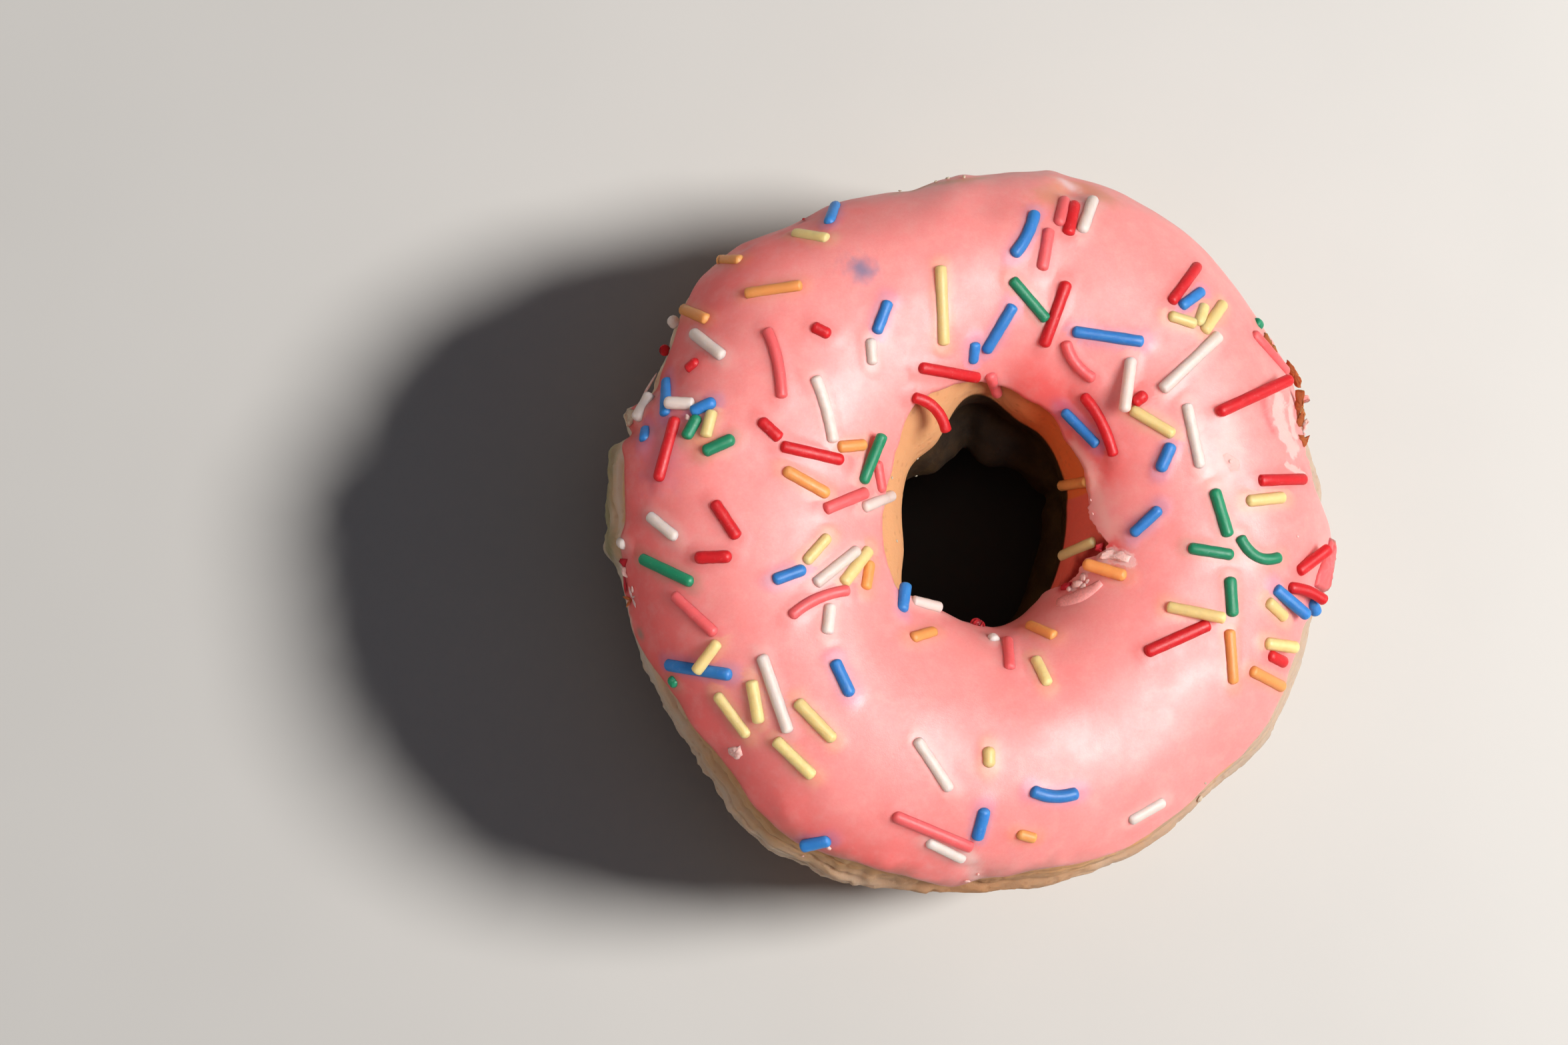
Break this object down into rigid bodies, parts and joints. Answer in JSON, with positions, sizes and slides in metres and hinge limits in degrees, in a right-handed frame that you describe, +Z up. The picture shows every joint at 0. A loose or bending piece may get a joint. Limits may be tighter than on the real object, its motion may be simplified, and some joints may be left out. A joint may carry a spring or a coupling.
{
  "type": "sprinkle frosted doughnut",
  "caption": "Ring doughnut with pink icing and coloured sprinkles on its crown, resting on a flattened base.",
  "frame": {"origin": "middle of the bounding box in plan, at the height of the base that the doughnut rests on", "axes": "+Z up, out of the iced crown; +X and +Y lie in the resting plane, with the hole's longer width along Y"},
  "size_m": [0.0915, 0.0904, 0.0343],
  "materials": {
    "dough": "fried dough, dry and slightly rough, pale round its middle and browned below",
    "icing": "pink icing, satin, with a fine grain",
    "sprinkle_blue": "sugar sprinkle, satin",
    "sprinkle_red": "sugar sprinkle, satin",
    "sprinkle_coral": "sugar sprinkle, satin",
    "sprinkle_green": "sugar sprinkle, satin",
    "sprinkle_yellow": "sugar sprinkle, satin",
    "sprinkle_orange": "sugar sprinkle, satin",
    "sprinkle_white": "sugar sprinkle, satin"
  },
  "bodies": {
    "root": {"dough_ring": "dough", "icing": "icing"}
  },
  "joints": []
}
